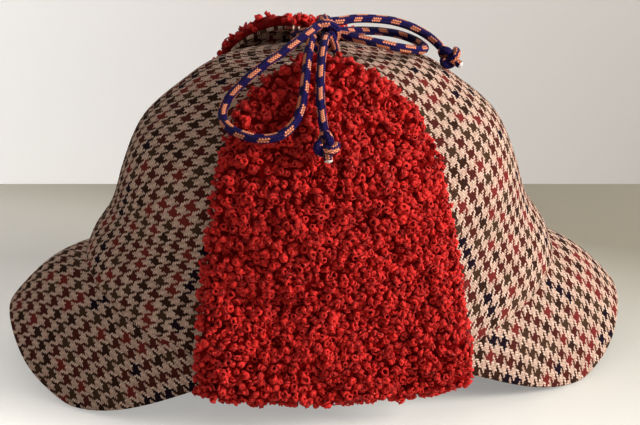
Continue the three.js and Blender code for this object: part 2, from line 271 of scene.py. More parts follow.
# -------------------------------- mesh helpers

def lay_grid(bm, columns, rows, place, cloth=None):
    """Lays a grid over a surface. place and cloth take the share across and the share up."""
    verts = bmesh.ops.create_grid(bm, x_segments=columns, y_segments=rows, size=0.5)["verts"]
    spots = {vert: (vert.co.x + 0.5, vert.co.y + 0.5) for vert in verts}
    if cloth:
        layer = bm.loops.layers.uv.verify()
        for face in {face for vert in verts for face in vert.link_faces}:
            for loop in face.loops:
                loop[layer].uv = cloth(*spots[loop.vert])
    for vert, spot in spots.items():
        vert.co = place(*spot)
    return spots


def face_away(bm, middle):
    """Turns an open sheet's faces over if most of them look towards the given point."""
    looks = sum(face.normal.dot(face.calc_center_median() - middle) for face in bm.faces)
    if looks < 0:
        bmesh.ops.reverse_faces(bm, faces=bm.faces[:])


def new_object(name, bm, material):
    mesh = bpy.data.meshes.new(name)
    bm.to_mesh(mesh)
    bm.free()
    mesh.materials.append(material)
    thing = bpy.data.objects.new(name, mesh)
    bpy.context.scene.collection.objects.link(thing)
    return thing


def finished(name, bm, material, merge=MERGE_DISTANCE):
    bmesh.ops.remove_doubles(bm, verts=bm.verts[:], dist=merge)
    for face in bm.faces:
        face.smooth = True
    piece = new_object(name, bm, material)
    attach(piece, "root")
    return piece


def thicken(piece, thickness, offset):
    wall = piece.modifiers.new("wall", "SOLIDIFY")
    wall.thickness = thickness
    wall.offset = offset


def smooth_over(piece):
    rounding = piece.modifiers.new("rounding", "SUBSURF")
    rounding.levels = rounding.render_levels = 1


# -------------------------------- the hat's surfaces

def rim_height(angle):
    return mix(RIM_SIDE_HEIGHT, RIM_END_HEIGHT, climb_at(abs(cos(angle))))


def crown_point(angle, rise):
    reach = reach_at(rise)
    return Vector((
        CROWN_CENTRE_X + CROWN_HALF_LENGTH * reach * cos(angle),
        CROWN_HALF_WIDTH * reach * sin(angle),
        mix(rim_height(angle), CROWN_TOP, rise),
    ))


def crown_normal(angle, rise):
    step = 1e-3
    rise = min(rise, 1 - 2 * step)
    around = crown_point(angle + step, rise) - crown_point(angle - step, rise)
    up = crown_point(angle, rise + step) - crown_point(angle, rise - step)
    return around.cross(up).normalized()


def rim_outwards(angle):
    """The way out from the rim, seen from above."""
    return Vector((cos(angle) / CROWN_HALF_LENGTH, sin(angle) / CROWN_HALF_WIDTH, 0)).normalized()


def walk_round(start, end, turn):
    """Lays the rim from one angle to another out flat, turning by a share of the rim's own turns."""
    steps = 90
    first = rim_outwards(start)
    walked = Vector((0, 0))
    route = [walked.copy()]
    for i in range(steps):
        angle, onwards = mix(start, end, i / steps), mix(start, end, (i + 1) / steps)
        way = rim_outwards((angle + onwards) / 2)
        turned = turn * atan2(first.x * way.y - first.y * way.x, first.dot(way))
        step = Vector((
            CROWN_HALF_LENGTH * (cos(onwards) - cos(angle)),
            CROWN_HALF_WIDTH * (sin(onwards) - sin(angle)),
        )).length
        walked += Vector((cos(turned), sin(turned))) * copysign(step, end - start)
        route.append(walked.copy())

    def at(angle):
        share = (angle - start) / (end - start) * steps
        i = max(0, min(steps - 1, int(share)))
        return route[i].lerp(route[i + 1], share - i)

    return at


def crown_panel_sheet(bm, number):
    """One panel between two seams, with a groove along each seam."""
    sweep = 2 * pi / len(CROWN_PANELS)
    low, high = sweep * number, sweep * (number + 1)
    grain_line = GRAIN_LINES[number]
    past_the_seam = 1.3
    left = walk_round(grain_line, grain_line - past_the_seam, CROWN_CLOTH_TURN)
    right = walk_round(grain_line, grain_line + past_the_seam, CROWN_CLOTH_TURN)
    cut_height = rim_height(radians(42))

    def spot(across, up):
        return mix(low, high, crowd(across, 0.8)), sin(up * pi / 2)

    def place(across, up):
        angle, rise = spot(across, up)
        point = crown_point(angle, rise)
        from_seam = min(angle - low, high - angle) * hypot(point.x - CROWN_CENTRE_X, point.y)
        groove = SEAM_GROOVE_DEPTH * exp(-((from_seam / SEAM_GROOVE_WIDTH) ** 2))
        at_hat_end = max(0, abs(cos(angle)) - 0.5) / 0.5
        flare = RIM_FLARE * max(0, 1 - rise / RIM_FLARE_RISE) ** 2 * at_hat_end
        return point + crown_normal(angle, rise) * (flare - groove)

    def cloth(across, up):
        angle, rise = spot(across, up)
        walked = (left if angle < grain_line else right)(angle) * cloth_width_at(rise)
        climb = 1.2 * (rim_height(angle) - cut_height) * (1 - rise)
        along = walked.x + number // 2 * PANEL_CUT_APART
        return along, walked.y + cloth_up_at(rise) * MM + climb

    lay_grid(bm, 26, 60, place, cloth)


def make_crown(tweed):
    bm = bmesh.new()
    for number in range(len(CROWN_PANELS)):
        crown_panel_sheet(bm, number)
    bmesh.ops.remove_doubles(bm, verts=bm.verts[:], dist=MERGE_DISTANCE)
    face_away(bm, CROWN_MIDDLE)
    crown = finished("crown", bm, tweed)
    thicken(crown, CROWN_WALL, -1)
    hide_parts(*CROWN_PANELS)


def make_peak(name, end, reach, tip_height, bulge, tweed):
    """A peak sewn round one end of the rim: -1 for the front end, 1 for the back.

    It is made as its middle sheet, then thickened both ways.
    """
    seam_reach = SEAM_GAP + PEAK_THICKNESS / 2
    seam_place = -0.4 * MM  # just inside the crown's face
    floor_height = 0.2 * PEAK_EDGE_THICKNESS  # the rounded edge then just reaches the table
    edge_rows = [(across, mix(floor_height, tip_height, height)) for across, height in PEAK_EDGE]
    edge_height = through_table(edge_rows + [(1, PEAK_CORNER_HEIGHT)])

    def width_at(angle):
        across = min(abs(angle) / PEAK_CORNER_ANGLE, 1)
        return mix(seam_reach, reach, cos(pi / 2 * across) ** PEAK_ROUNDNESS)

    def middle(angle, out):
        width = width_at(angle)
        seam = crown_point(angle, 0) + rim_outwards(angle) * seam_place
        seam.z += PEAK_THICKNESS / 2
        edge = crown_point(angle, 0) + rim_outwards(angle) * width
        edge.z = edge_height(abs(angle) / PEAK_CORNER_ANGLE)
        point = seam.lerp(edge, out)
        point.z += bulge * sin(pi * out) * width / reach
        point.z = max(point.z, floor_height)
        if end < 0:
            point.x = 2 * CROWN_CENTRE_X - point.x
        return point

    def spot(across, along):
        return mix(-PEAK_CORNER_ANGLE, PEAK_CORNER_ANGLE, across), crowd(along, 0.6)

    # The cloth is cut flat: its seam line is drawn by walking round the rim, turning a little less than
    # the rim does.
    steps = 120
    seam_line = []
    walked = Vector((0, 0))
    for i in range(steps + 1):
        angle = mix(0, PEAK_CORNER_ANGLE, i / steps)
        normal = rim_outwards(angle)
        turn = PEAK_CLOTH_TURN * atan2(normal.y, normal.x)
        seam_line.append((walked.copy(), turn))
        onwards = mix(0, PEAK_CORNER_ANGLE, (i + 1) / steps)
        length = (crown_point(onwards, 0) - crown_point(angle, 0)).length
        walked += Vector((-sin(turn), cos(turn))) * length

    def cloth(across, along):
        angle, out = spot(across, along)
        walked, turn = seam_line[round(abs(angle) / PEAK_CORNER_ANGLE * steps)]
        length = (middle(angle, out) - middle(angle, 0)).length
        side = copysign(1, angle)
        away = walked.x + cos(turn) * length
        sideways = side * (walked.y + sin(turn) * length)
        return sideways, -end * away + PEAK_CUT

    bm = bmesh.new()
    share_of_wall = bm.verts.layers.deform.verify()
    spots = lay_grid(bm, 80, 22, lambda across, along: middle(*spot(across, along)), cloth)
    for vert, (across, along) in spots.items():
        near_edge = max(0, (along - 0.8) / 0.2)
        edge_share = PEAK_EDGE_THICKNESS / PEAK_THICKNESS
        vert[share_of_wall][0] = mix(1, edge_share, near_edge**2)
    bm.normal_update()
    if sum(face.normal.z * face.calc_area() for face in bm.faces) < 0:
        bmesh.ops.reverse_faces(bm, faces=bm.faces[:])
    peak = finished(f"{name}_brim", bm, tweed)
    thicken(peak, PEAK_THICKNESS, 0)
    peak.modifiers["wall"].vertex_group = peak.vertex_groups.new(name="share of the wall").name
    smooth_over(peak)
    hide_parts(name)


def flap_spot(side, across, up):
    """The angle and rise on the crown under a point of a folded-up flap, and the flap's lift there."""
    lean = FAR_FLAP_LEAN * up * up if side > 0 else 0
    x = across * FLAP_HALF_WIDTH * taper_at(up) - FLAP_FORWARD - lean
    fold_rim = rim_height(acos(x / CROWN_HALF_LENGTH))
    fold_height = FLAP_FOLD_HEIGHT + FLAP_CORNER_RISE * abs(across) ** 3
    fold_rise = (fold_height - fold_rim) / (CROWN_TOP - fold_rim)
    rise = mix(fold_rise, FLAP_TIP_RISE, up)
    angle = acos(max(-1, min(1, x / (CROWN_HALF_LENGTH * reach_at(rise)))))
    over_peak = corner_sideways_at(abs(x) / FLAP_HALF_WIDTH) * corner_upwards_at(rise)
    lift = over_peak * (PEAK_THICKNESS + FLAP_SEAT + FLAP_CLOTH)
    if side > 0:
        lift += FAR_FLAP_STAND_OFF * tip_upwards_at(up) * tip_forwards_at(-across)
    return angle, rise, lift


def flap_frame(side, across, up, away):
    """A point of a flap at a distance from the crown, and the way out from the crown there."""
    angle, rise, lift = flap_spot(side, across, up)
    out = crown_normal(angle, rise)
    point = crown_point(angle, rise) + out * (lift + away)
    return Vector((point.x, side * point.y, point.z)), Vector((out.x, side * out.y, out.z))


def flap_lengths(side):
    """How far each step up a flap's middle line lies from its fold."""
    lengths = [0]
    for i in range(FLAP_STEPS):
        low = flap_frame(side, 0, i / FLAP_STEPS, FLAP_SEAT)[0]
        high = flap_frame(side, 0, (i + 1) / FLAP_STEPS, FLAP_SEAT)[0]
        lengths.append(lengths[-1] + (high - low).length)
    return lengths


def make_flap_cloth(name, side, tweed):
    lengths = flap_lengths(side)
    middle_away = FLAP_SEAT + FLAP_CLOTH / 2

    def place(across, up):
        return flap_frame(side, mix(-1, 1, across), up, middle_away)[0]

    def cloth(across, up):
        sideways = mix(-1, 1, across) * FLAP_HALF_WIDTH * taper_at(up)
        return sideways, lengths[round(up * FLAP_STEPS)] + FLAP_CUT

    bm = bmesh.new()
    lay_grid(bm, 60, 72, place, cloth)
    face_away(bm, CROWN_MIDDLE)
    area = sum(face.calc_area() for face in bm.faces)
    backing = finished(f"{name}_backing", bm, tweed)
    thicken(backing, FLAP_CLOTH, 0)
    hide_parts(f"{name}_cloth")
    return backing, (2 * FLAP_HALF_WIDTH, lengths[-1]), area


# -------------------------------- pile

def lump_height(spot, apart):
    """Rounded lumps, from 0 in the clefts to 1 on top."""
    distances = noise.voronoi(spot / apart, distance_metric="DISTANCE", exponent=2.5)[0]
    dome = 1 - min(distances[0] / 0.72, 1) ** 2
    return sqrt(max(dome, 0))


def pile_height(side, across, up, spot):
    """How far in from the flap's edges a point is, from 0 to 1, and the lumpy pile's height there."""
    from_side = (1 - abs(across)) * FLAP_HALF_WIDTH * taper_at(up)
    from_ends = min(up, 1 - up) * CROWN_TOP
    edge = min(1, min(from_side, from_ends) / PILE_EDGE)
    full = sqrt(max(0, 1 - (1 - edge) ** 2))
    swell = noise.noise(spot / SWELL_SIZE + Vector((side * 7, 0, 0)))
    uneven = 0.5 + 0.12 * swell + 0.38 * lump_height(spot, LUMP_SIZE)
    return full, uneven * PILE_DEPTH * mix(0.45, 1, full)


def make_pile_mat(name, side, wool):
    """The closed ground of the pile: its border lies on the backing."""

    def place(across, up):
        across = mix(-1, 1, across)
        low, out = flap_frame(side, across, up, PILE_SEAT)
        if abs(across) > 0.999 or up < 0.001 or up > 0.999:
            return low
        height = pile_height(side, across, up, low)[1]
        return low + out * (height + TUFT_HEIGHT * lump_height(low, TUFT_SIZE) - MAT_SUNK)

    bm = bmesh.new()
    lay_grid(bm, 118, 168, place)
    face_away(bm, CROWN_MIDDLE)
    mat = finished(name, bm, wool)
    return mat


def new_wool():
    """An empty mesh whose points carry the wool's tone and their nearness to a curl's tip."""
    bm = bmesh.new()
    for layer in ("tone", "tip"):
        bm.verts.layers.float.new(layer)
    return bm


def curl_pattern(strand, sides, radius, turns, steps, climb, drawn_in):
    """A ringlet: a strand of wool spun up round its own axis and drawn in at the top."""
    bm = new_wool()
    tips = bm.verts.layers.float["tip"]
    circle = bmesh.ops.create_circle(bm, cap_ends=True, segments=sides, radius=strand)["verts"]
    bmesh.ops.rotate(bm, verts=circle, cent=(0, 0, 0), matrix=Matrix.Rotation(pi / 2, 3, "X"))
    bmesh.ops.translate(bm, verts=circle, vec=(radius, 0, 0))
    bmesh.ops.spin(
        bm, geom=bm.verts[:] + bm.edges[:] + bm.faces[:], cent=(0, 0, 0), axis=(0, 0, 1),
        dvec=Vector((0, 0, climb / steps)), angle=turns * 2 * pi, steps=steps,
    )
    for vert in bm.verts:
        share = max(0, min(1, vert.co.z / climb))
        vert[tips] = share
        vert.co.x *= 1 - drawn_in * share * share
        vert.co.y *= 1 - drawn_in * share * share
    bmesh.ops.recalc_face_normals(bm, faces=bm.faces[:])
    pattern = bpy.data.meshes.new("curl pattern")
    bm.to_mesh(pattern)
    bm.free()
    return pattern


def tight_curl(chance):
    size = chance.uniform(0.9, 1.6) * MM
    return curl_pattern(
        0.7 * size, 5, chance.uniform(0.6, 1.1) * size, chance.uniform(1.5, 2.0), 10,
        chance.uniform(1.2, 2.0) * size, chance.uniform(0.2, 0.65),
    )


def open_ringlet(chance):
    return curl_pattern(
        chance.uniform(0.42, 0.72) * MM, 4, chance.uniform(0.9, 1.5) * MM, chance.uniform(1.3, 2.3), 14,
        chance.uniform(0.9, 2.6) * MM, chance.uniform(0.1, 0.8),
    )


def make_pile_curls(name, side, wool, new_pattern, gap, sunk, leaning, crumpled, seed):
    """Curls stand on the mat in staggered rows, each turned its own way.

    Those at the flap's edges lean outwards. The rows are joined one by one, which is quick.
    """
    chance = Random(seed + side)
    patterns = [new_pattern(chance) for _ in range(CURL_PATTERNS)]
    centre = flap_frame(side, 0, 0.45, PILE_SEAT)[0]
    rows = round(flap_lengths(side)[-1] / gap)
    whole = new_wool()
    for row in range(rows + 1):
        strip = new_wool()
        up_middle = row / rows
        width = 2 * FLAP_HALF_WIDTH * taper_at(up_middle)
        count = max(2, round(width / gap))
        for column in range(count + 1):
            across = (column + 0.5 * (row % 2) + chance.uniform(-0.35, 0.35)) / count * 2 - 1
            across = max(-1, min(1, across))
            up = max(0, min(1, up_middle + chance.uniform(-0.35, 0.35) / rows))
            low, out = flap_frame(side, across, up, PILE_SEAT)
            full, height = pile_height(side, across, up, low)
            before = len(strip.verts)
            strip.from_mesh(chance.choice(patterns))
            strip.verts.ensure_lookup_table()
            curl = strip.verts[before:]
            tones = strip.verts.layers.float["tone"]
            lean = Vector((chance.gauss(0, 1), chance.gauss(0, 1), chance.gauss(0, 1)))
            outer = low - centre
            outer = (outer - out * outer.dot(out)).normalized() * 1.1 * (1 - full)
            axis = (out + outer + lean * leaning).normalized()
            turn = axis.to_track_quat("Z", "Y").to_matrix().to_4x4()
            own_turn = Matrix.Rotation(chance.uniform(0, 2 * pi), 4, "Z")
            seat = low + out * (height - chance.uniform(*sunk)) + outer * 0.5 * MM
            bmesh.ops.transform(strip, matrix=Matrix.Translation(seat) @ turn @ own_turn, verts=curl)
            tone = chance.random()
            for vert in curl:
                vert[tones] = tone
                vert.co += noise.noise_vector(vert.co / CURL_RIPPLE) * crumpled
        part = bpy.data.meshes.new("strip")
        strip.to_mesh(part)
        strip.free()
        whole.from_mesh(part)
        bpy.data.meshes.remove(part)
    for pattern in patterns:
        bpy.data.meshes.remove(pattern)
    curls = finished(name, whole, wool, merge=0.001 * MM)
    return curls


# -------------------------------- cords

def smooth_route(points):
    """Points close together on one smooth curve through the given ones."""
    points = [Vector(point) * MM for point in points]
    ends = [points[0] * 2 - points[1], *points, points[-1] * 2 - points[-2]]
    route = []
    for before, start, end, after in zip(ends, ends[1:], ends[2:], ends[3:]):
        knots = [0]
        for a, b in ((before, start), (start, end), (end, after)):
            knots.append(knots[-1] + sqrt((b - a).length))
        pieces = max(2, ceil((end - start).length / CORD_STEP))
        for i in range(pieces):
            at = mix(knots[1], knots[2], i / pieces)

            def between(a, b, low, high):
                return a.lerp(b, (at - low) / (high - low))

            ab = between(before, start, knots[0], knots[1])
            bc = between(start, end, knots[1], knots[2])
            cd = between(end, after, knots[2], knots[3])
            abc = between(ab, bc, knots[0], knots[2])
            bcd = between(bc, cd, knots[1], knots[3])
            route.append(between(abc, bcd, knots[1], knots[2]))
    return route + [points[-1]]


def length_of(route):
    return sum((b - a).length for a, b in zip(route, route[1:]))


def cord_frames(route):
    """A way sideways at each point of a route that turns no more than the route does."""
    frames = []
    sideways = Vector((0, 0, 1))
    last = len(route) - 1
    for i in range(last + 1):
        along = (route[min(i + 1, last)] - route[max(i - 1, 0)]).normalized()
        sideways = (sideways - along * sideways.dot(along)).normalized()
        frames.append((sideways.copy(), along.cross(sideways)))
    return frames


def braided_tube(bm, route, diameter, start=0.0):
    """A round tube of cord along a route, with rounded ends. The braid's pattern begins at start."""
    frames = cord_frames(route)
    along = [start]
    for a, b in zip(route, route[1:]):
        along.append(along[-1] + (b - a).length)
    steps = len(route) - 1
    end_steps = 3

    def place(across, up):
        i = round(up * steps)
        from_end = min(i, steps - i)
        round_end = 1 if from_end >= end_steps else sqrt(1 - (1 - from_end / end_steps) ** 2)
        sideways, other = frames[i]
        angle = across * 2 * pi
        way = sideways * cos(angle) + other * sin(angle)
        return route[i] + way * diameter / 2 * max(round_end, 0.02)

    def braid(across, up):
        return along[round(up * steps)], across

    spots = lay_grid(bm, CORD_SIDES, steps, place, braid)
    bmesh.ops.remove_doubles(bm, verts=list(spots), dist=0.02 * MM)


def make_cord(name, points, cord):
    """A cord from its flap's tip, through the bow and down to its own end knot."""
    nodes = [f"{name}_lead", f"{name}_loop", f"{name}_end"]
    route = smooth_route(points)
    bm = bmesh.new()
    braided_tube(bm, route, CORD_DIAMETER)
    bmesh.ops.recalc_face_normals(bm, faces=bm.faces[:])
    piece = finished(name, bm, cord)
    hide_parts(*nodes)
    length_of(route)


def coil(middle, axis, first, radius, half_length, start, turns):
    """A route of turns round an axis, with both ends tucked in. Its angles count from first."""
    steps = 90
    axis = axis.normalized()
    first = (first - axis * first.dot(axis)).normalized()
    second = axis.cross(first)
    route = []
    for i in range(steps + 1):
        share = i / steps
        tuck = min(1, min(share, 1 - share) / 0.14)
        out = radius * mix(0.35, 1, sqrt(1 - (1 - tuck) ** 2))
        angle = start + 2 * pi * turns * share
        along = mix(-half_length, half_length, share)
        route.append(middle + axis * along + (first * cos(angle) + second * sin(angle)) * out)
    return route


def bow_wraps(cord):
    """The bow's middle: turns of one cord round the loops, and the other cord crossing beside them."""
    low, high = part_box("bow_knot")
    middle = (low + high) / 2
    half = (high - low) / 2
    bm = bmesh.new()
    upright = coil(
        middle=middle + Vector((2.2, -3.0, -0.6)) * MM, axis=Vector((1, 0.1, 0.3)),
        first=Vector((0, 0, 1)), radius=half.z - CORD_DIAMETER / 2 + 1.4 * MM,
        half_length=1.5 * MM, start=radians(160), turns=1.6,
    )
    braided_tube(bm, upright, CORD_DIAMETER, start=3 * MM)
    crossing = coil(
        middle=Vector((0.6, -18.2, 152.4)) * MM, axis=Vector((0.1, -0.9, -0.45)),
        first=Vector((1, 0, 0)), radius=6 * MM,
        half_length=1.4 * MM, start=radians(-100), turns=1.25,
    )
    braided_tube(bm, crossing, CORD_DIAMETER, start=6 * MM)
    bmesh.ops.recalc_face_normals(bm, faces=bm.faces[:])
    wraps = finished("bow_wraps", bm, cord)
    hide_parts("bow_knot")
    return wraps


def end_knot(which, hangs, cord, sealed_tip):
    """An overhand knot near a cord's end, with its sealed tip sticking out below."""
    node = f"{which}_end_knot"
    low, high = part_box(node)
    middle = (low + high) / 2
    along = hangs.normalized()
    side = along.cross(Vector((0.2, 1, 0))).normalized()
    other = along.cross(side)
    turns = Matrix((side, other, along)).transposed()
    route = []
    steps = 110
    for i in range(steps + 1):
        t = mix(0.55, 2 * pi - 0.25, i / steps)
        point = Vector((sin(t) + 2 * sin(2 * t), -1.3 * sin(3 * t), cos(t) - 2 * cos(2 * t)))
        route.append(middle + turns @ point * KNOT_SIZE)
    bm = bmesh.new()
    braided_tube(bm, route, CORD_DIAMETER * 0.95)
    tail_start = middle + along * 2 * MM
    tail = [tail_start + along * (i * 0.5 * MM) for i in range(12)]
    braided_tube(bm, tail, CORD_DIAMETER * 0.92)
    bmesh.ops.recalc_face_normals(bm, faces=bm.faces[:])
    knot = finished(f"{which}_overhand_knot", bm, cord)
    knot.data.materials.append(sealed_tip)
    for face in knot.data.polygons:
        if (Vector(face.center) - tail[-3]).dot(along) > 0:
            face.material_index = 1
    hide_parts(node)
    return knot


# -------------------------------- shader helpers

def calc(tree, operation, *values):
    node = tree.nodes.new("ShaderNodeMath")
    node.operation = operation
    for socket, value in zip(node.inputs, values):
        feed(tree, socket, value)
    return node.outputs[0]


def feed(tree, socket, value):
    if isinstance(value, bpy.types.NodeSocket):
        tree.links.new(value, socket)
    else:
        socket.default_value = value


def blend_colour(tree, share, first, second, way="MIX"):
    node = tree.nodes.new("ShaderNodeMix")
    node.data_type = "RGBA"
    node.blend_type = way
    feed(tree, node.inputs["Factor"], share)
    feed(tree, node.inputs["A"], first)
    feed(tree, node.inputs["B"], second)
    return node.outputs["Result"]


def spread(tree, value, low, high, new_low, new_high):
    node = tree.nodes.new("ShaderNodeMapRange")
    for socket, given in zip(node.inputs, (value, low, high, new_low, new_high)):
        feed(tree, socket, given)
    return node.outputs[0]


def dimmed(tree, colour, factor):
    """A colour made darker or lighter by a factor."""
    grey = tree.nodes.new("ShaderNodeCombineColor")
    for socket in grey.inputs[:3]:
        tree.links.new(factor, socket)
    return blend_colour(tree, 1.0, colour, grey.outputs[0], "MULTIPLY")


def grain(tree, vector, scale, detail=2.0):
    node = tree.nodes.new("ShaderNodeTexNoise")
    feed(tree, node.inputs["Vector"], vector)
    node.inputs["Scale"].default_value = scale
    node.inputs["Detail"].default_value = detail
    return node.outputs["Fac"]


def random_of(tree, x, y, seed):
    """A random number from 0 to 1 for each whole pair of numbers."""
    pair = tree.nodes.new("ShaderNodeCombineXYZ")
    feed(tree, pair.inputs[0], x)
    feed(tree, pair.inputs[1], y)
    pair.inputs[2].default_value = seed
    node = tree.nodes.new("ShaderNodeTexWhiteNoise")
    node.noise_dimensions = "3D"
    tree.links.new(pair.outputs[0], node.inputs["Vector"])
    return node.outputs["Value"]


def new_group(name, inputs, outputs):
    tree = bpy.data.node_groups.new(name, "ShaderNodeTree")
    for side, sockets in (("INPUT", inputs), ("OUTPUT", outputs)):
        for title, kind in sockets.items():
            tree.interface.new_socket(name=title, in_out=side, socket_type=f"NodeSocket{kind}")
    return tree, tree.nodes.new("NodeGroupInput").outputs, tree.nodes.new("NodeGroupOutput").inputs


def place_group(tree, group, **values):
    node = tree.nodes.new("ShaderNodeGroup")
    node.node_tree = group
    for title, value in values.items():
        feed(tree, node.inputs[title], value)
    return node.outputs


def new_material(name, colour, roughness):
    material = bpy.data.materials.new(name)
    material.use_nodes = True
    material.diffuse_color = (*colour, 1)
    shader = material.node_tree.nodes["Principled BSDF"]
    shader.inputs["Base Color"].default_value = (*colour, 1)
    shader.inputs["Roughness"].default_value = roughness
    return material, material.node_tree, shader


def raise_relief(tree, shader, height, distance, strength=1.0):
    bump = tree.nodes.new("ShaderNodeBump")
    bump.inputs["Strength"].default_value = strength
    bump.inputs["Distance"].default_value = distance
    feed(tree, bump.inputs["Height"], height)
    tree.links.new(bump.outputs["Normal"], shader.inputs["Normal"])


def surface_uv(tree):
    return tree.nodes.new("ShaderNodeUVMap").outputs["UV"]


def object_place(tree):
    return tree.nodes.new("ShaderNodeTexCoord").outputs["Object"]


def wool_fuzz_group():
    """Fine fibres over any wool or cord: a tone round 1 and a small height."""
    tree, given, result = new_group(
        "wool fuzz",
        {"Place": "Vector", "Fibre": "Float", "Amount": "Float"},
        {"Tone": "Float", "Height": "Float"},
    )
    node = tree.nodes.new("ShaderNodeTexNoise")
    tree.links.new(given["Place"], node.inputs["Vector"])
    tree.links.new(given["Fibre"], node.inputs["Scale"])
    node.inputs["Detail"].default_value = 3
    node.inputs["Distortion"].default_value = 0.6
    centred = calc(tree, "SUBTRACT", node.outputs["Fac"], 0.5)
    swing = calc(tree, "MULTIPLY", centred, given["Amount"])
    tree.links.new(calc(tree, "MULTIPLY_ADD", swing, 2.0, 1.0), result["Tone"])
    tree.links.new(node.outputs["Fac"], result["Height"])
    return tree


def houndstooth_group():
    """A twill of four dark and four light threads each way, on cloth coordinates in metres."""
    tree, given, result = new_group(
        "houndstooth",
        {"Cloth": "Vector", "Light": "Color"},
        {"Colour": "Color", "Height": "Float"},
    )
    split = tree.nodes.new("ShaderNodeSeparateXYZ")
    tree.links.new(given["Cloth"], split.inputs[0])
    across = calc(tree, "DIVIDE", split.outputs[0], THREAD)
    along = calc(tree, "DIVIDE", split.outputs[1], THREAD)
    # The threads wander, in wide bends and in small ones that fray the stars' edges.
    for scale, threads in ((110, 1.6), (1500, 0.9)):
        wander = tree.nodes.new("ShaderNodeTexNoise")
        tree.links.new(given["Cloth"], wander.inputs["Vector"])
        wander.inputs["Scale"].default_value = scale
        drift = tree.nodes.new("ShaderNodeSeparateColor")
        tree.links.new(wander.outputs["Color"], drift.inputs[0])
        across = calc(tree, "MULTIPLY_ADD", drift.outputs[0], threads, across)
        along = calc(tree, "MULTIPLY_ADD", drift.outputs[1], threads, along)
    warp, weft = calc(tree, "FLOOR", across), calc(tree, "FLOOR", along)
    in_warp, in_weft = calc(tree, "FRACT", across), calc(tree, "FRACT", along)
    warp_dark = calc(tree, "LESS_THAN", calc(tree, "FLOORED_MODULO", warp, 8.0), 4.0)
    weft_dark = calc(tree, "LESS_THAN", calc(tree, "FLOORED_MODULO", weft, 8.0), 4.0)
    twill = calc(tree, "FLOORED_MODULO", calc(tree, "SUBTRACT", warp, weft), 4.0)
    warp_over = calc(tree, "LESS_THAN", twill, 2.0)

    def on_top(of_warp, of_weft):
        kept = calc(tree, "MULTIPLY", of_warp, warp_over)
        return calc(tree, "MULTIPLY_ADD", of_weft, calc(tree, "SUBTRACT", 1.0, warp_over), kept)

    dark = on_top(warp_dark, weft_dark)

    def rounded(share):
        offset = calc(tree, "MULTIPLY_ADD", share, 2.0, -1.0)
        return calc(tree, "SUBTRACT", 1.0, calc(tree, "MULTIPLY", offset, offset))

    yarn = on_top(rounded(in_warp), rounded(in_weft))
    # Each dark star has a dye of its own, partly shared by the whole stripe that it is in.
    star_x = calc(tree, "FLOOR", calc(tree, "DIVIDE", calc(tree, "ADD", across, 2.0), 8.0))
    star_y = calc(tree, "FLOOR", calc(tree, "DIVIDE", calc(tree, "ADD", along, 2.0), 8.0))
    by_star = random_of(tree, star_x, star_y, 3.0)
    by_stripe = random_of(tree, star_x, 0.0, 11.0)
    dye = calc(tree, "MULTIPLY_ADD", by_stripe, 0.4, calc(tree, "MULTIPLY", by_star, 0.6))
    ramp = tree.nodes.new("ShaderNodeValToRGB")
    ramp.color_ramp.interpolation = "CONSTANT"
    shades = [
        (0.0, (0.013, 0.006, 0.012)), (0.27, (0.04, 0.016, 0.01)), (0.42, (0.068, 0.033, 0.018)),
        (0.57, (0.09, 0.018, 0.013)), (0.82, (0.2, 0.025, 0.022)),
    ]
    while len(ramp.color_ramp.elements) < len(shades):
        ramp.color_ramp.elements.new(0.5)
    for element, (position, shade) in zip(ramp.color_ramp.elements, shades):
        element.position = position
        element.color = (*shade, 1)
    tree.links.new(dye, ramp.inputs["Fac"])
    by_thread = random_of(tree, on_top(warp, weft), warp_over, 5.0)
    weft_over = calc(tree, "SUBTRACT", 1.0, warp_over)
    dulled = calc(tree, "MULTIPLY_ADD", by_thread, 0.4, calc(tree, "MULTIPLY", weft_over, 0.3))
    light = blend_colour(tree, dulled, given["Light"], (0.4, 0.23, 0.16, 1))
    colour = blend_colour(tree, dark, light, ramp.outputs["Color"])
    # Painted shade and light: each yarn is darker where it dips between threads and lighter on its
    # crown.
    shadow = spread(tree, yarn, 0.0, 1.0, 0.48, 1.14)
    tree.links.new(dimmed(tree, colour, shadow), result["Colour"])
    tree.links.new(calc(tree, "MULTIPLY_ADD", warp_over, 0.25, yarn), result["Height"])
    return tree


def tweed_cloth(name, houndstooth, fuzz, light):
    material, tree, shader = new_material(name, (0.3, 0.2, 0.15), 0.9)
    weave = place_group(tree, houndstooth, Cloth=surface_uv(tree), Light=(*light, 1))
    fibres = place_group(tree, fuzz, Place=object_place(tree), Fibre=3200.0, Amount=0.5)
    coloured = dimmed(tree, weave["Colour"], fibres["Tone"])
    tree.links.new(coloured, shader.inputs["Base Color"])
    height = calc(tree, "MULTIPLY_ADD", fibres["Height"], 0.5, weave["Height"])
    raise_relief(tree, shader, height, 0.35 * MM, 0.9)
    shader.inputs["Specular IOR Level"].default_value = 0.04
    return material


